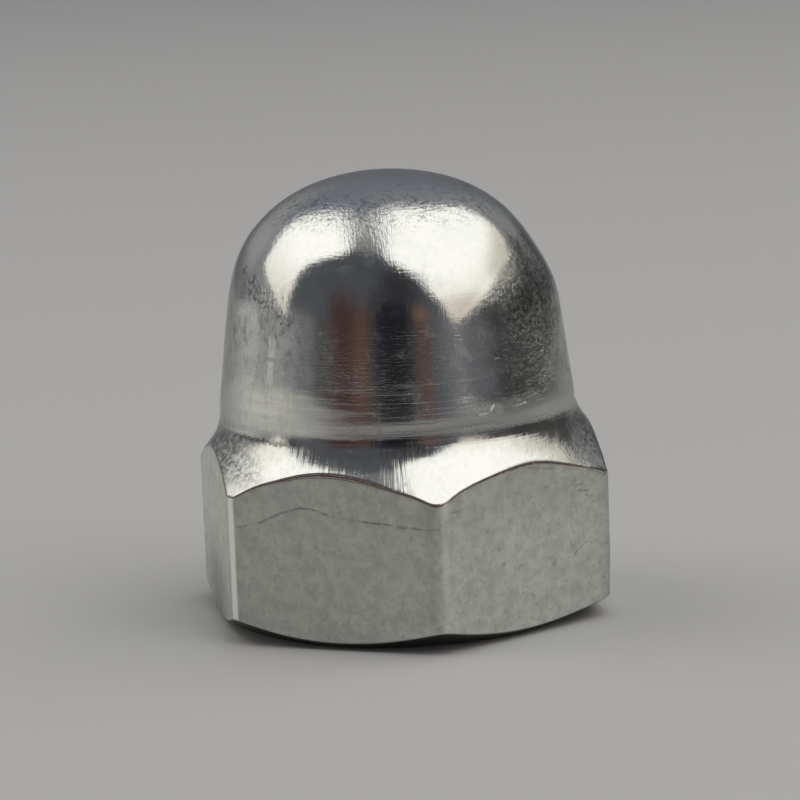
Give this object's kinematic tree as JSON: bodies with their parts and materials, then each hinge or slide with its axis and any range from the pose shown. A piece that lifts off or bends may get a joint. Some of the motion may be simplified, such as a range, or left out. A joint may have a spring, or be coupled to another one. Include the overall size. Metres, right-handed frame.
{
  "type": "cap nut",
  "caption": "Domed cap nut: chamfered hexagon under a closed, rounded dome, with a blind threaded hole from below.",
  "frame": {"origin": "centre of the bearing face, on the nut's axis", "axes": "+Z along the axis, from the bearing face to the crown; -Y through one upright corner of the hexagon; +X out of the middle of a flat"},
  "size_m": [0.0128, 0.0146, 0.015],
  "materials": {
    "zinc_plated_steel": "bright zinc plating, polished on the dome and satin on the flats"
  },
  "bodies": {
    "root": {"cap_nut": "zinc_plated_steel"}
  },
  "joints": []
}
